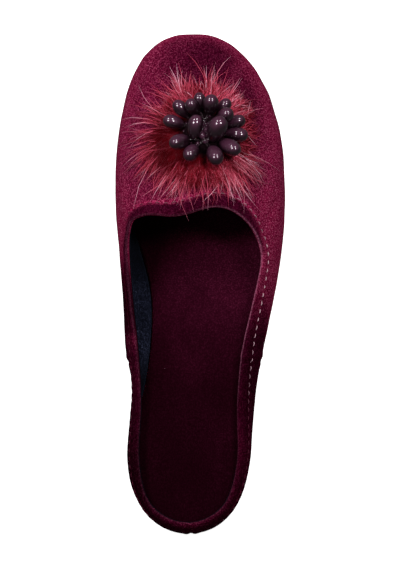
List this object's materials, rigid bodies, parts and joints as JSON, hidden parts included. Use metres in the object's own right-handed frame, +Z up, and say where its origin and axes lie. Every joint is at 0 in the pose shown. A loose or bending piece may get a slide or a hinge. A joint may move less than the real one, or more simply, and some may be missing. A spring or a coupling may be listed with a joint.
{
  "type": "wedge house slipper",
  "caption": "Velvet wedge mule for indoor wear, with a closed toe, a low padded rim round the heel, and a fur rosette with glossy drop beads on the vamp.",
  "frame": {"origin": "on the floor, under the middle of the slipper's length and width", "axes": "+Z up, +Y towards the toe, +X towards the outer side of the right foot"},
  "size_m": [0.0877, 0.2553, 0.0734],
  "materials": {
    "outsole_rubber": "matte black rubber, fine tread",
    "wedge_velvet": "burgundy velvet wrapped over foam",
    "insole_velvet": "dark burgundy velvet, padded",
    "upper_velvet": "burgundy velvet with a dark blue lining",
    "rosette_fur": "rose-red long-haired faux fur",
    "bead_gloss": "polished dark plum"
  },
  "bodies": {
    "root": {"outsole": "outsole_rubber", "wedge": "wedge_velvet", "insole": "insole_velvet", "upper": "upper_velvet", "fur_rosette": "rosette_fur", "bead_01": "bead_gloss", "bead_02": "bead_gloss", "bead_03": "bead_gloss", "bead_04": "bead_gloss", "bead_05": "bead_gloss", "bead_06": "bead_gloss", "bead_07": "bead_gloss", "bead_08": "bead_gloss", "bead_09": "bead_gloss", "bead_10": "bead_gloss", "bead_11": "bead_gloss", "bead_12": "bead_gloss", "bead_13": "bead_gloss", "bead_14": "bead_gloss", "bead_15": "bead_gloss"}
  },
  "joints": []
}
